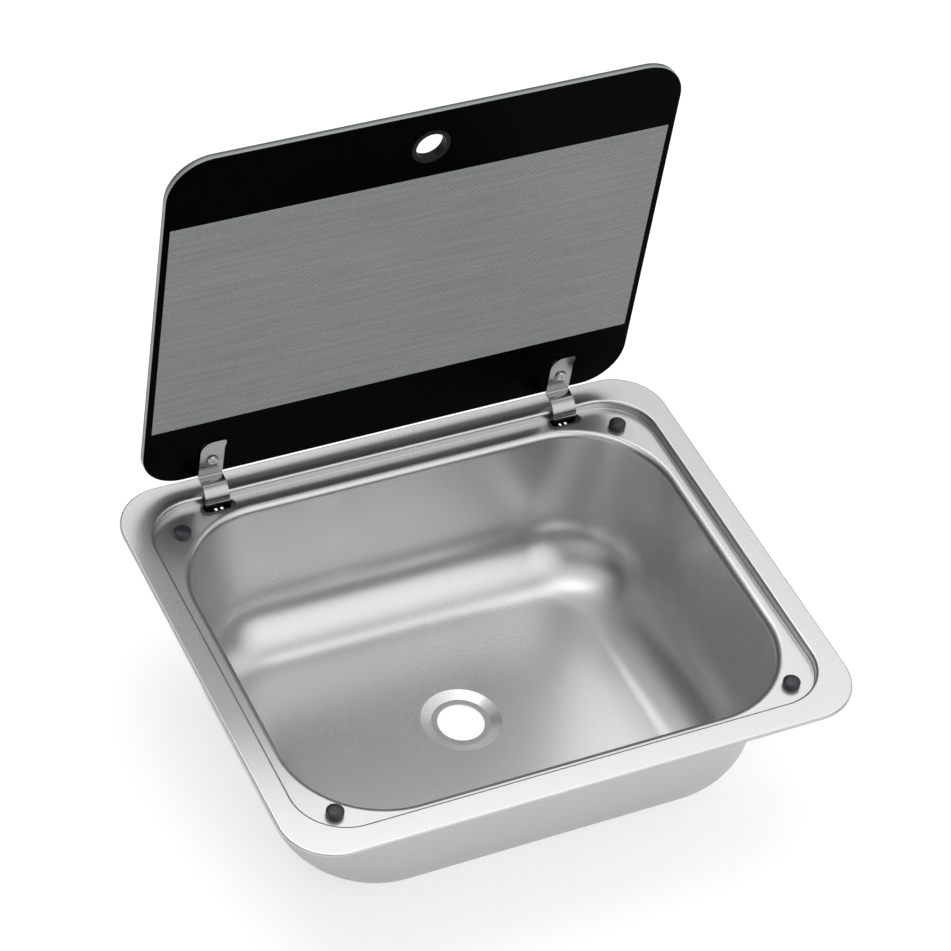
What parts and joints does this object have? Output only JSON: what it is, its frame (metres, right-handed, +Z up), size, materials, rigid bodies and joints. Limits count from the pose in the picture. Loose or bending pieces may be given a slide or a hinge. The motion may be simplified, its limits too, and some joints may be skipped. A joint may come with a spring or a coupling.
{
  "type": "kitchen sink with glass lid",
  "caption": "Drop-in rectangular pressed steel sink with a deep rounded bowl, a recessed ledge and a hinged black-edged glass lid.",
  "frame": {"origin": "centre of the rim, on the worktop's surface that the rim rests on", "axes": "+X to the right, +Y towards the hinges, +Z up out of the bowl"},
  "size_m": [0.422, 0.3509, 0.4434],
  "materials": {
    "stainless": "satin pressed stainless",
    "lid_glass": "toughened glass, back printed black with a halftone window",
    "black_plastic": "moulded, satin",
    "arm_steel": "tumbled stainless strip",
    "fixing_steel": "bright plated",
    "buffer_rubber": "soft moulded rubber",
    "seal_foam": "closed-cell foam",
    "clear_plastic": "natural nylon"
  },
  "bodies": {
    "sink": {"sink_bowl": "stainless", "rim_seal": "seal_foam", "rear_seal": "seal_foam", "buffer_front_left": "buffer_rubber", "buffer_front_right": "buffer_rubber", "buffer_rear_left": "buffer_rubber", "buffer_rear_right": "buffer_rubber", "hinge_bezel_left": "black_plastic", "hinge_pocket_left": "black_plastic", "hinge_pin_left": "fixing_steel", "pin_ring_left": "fixing_steel", "friction_washers_left": "fixing_steel", "hinge_bezel_right": "black_plastic", "hinge_pocket_right": "black_plastic", "hinge_pin_right": "fixing_steel", "pin_ring_right": "fixing_steel", "friction_washers_right": "fixing_steel"},
    "lid": {"glass_lid": "lid_glass", "finger_grommet": "black_plastic", "hinge_arm_left": "arm_steel", "arm_pad_left": "clear_plastic", "glass_bush_left": "clear_plastic", "glass_screw_left": "fixing_steel", "cap_washer_left": "clear_plastic", "cap_nut_left": "fixing_steel", "hinge_arm_right": "arm_steel", "arm_pad_right": "clear_plastic", "glass_bush_right": "clear_plastic", "glass_screw_right": "fixing_steel", "cap_washer_right": "clear_plastic", "cap_nut_right": "fixing_steel"}
  },
  "joints": [
    {"name": "lid_hinge", "type": "hinge", "parent": "sink", "child": "lid", "pos_m": [0, 0.16366, -0.0038], "axis": [1, 0, 0], "range_deg": [0, 87]}
  ]
}
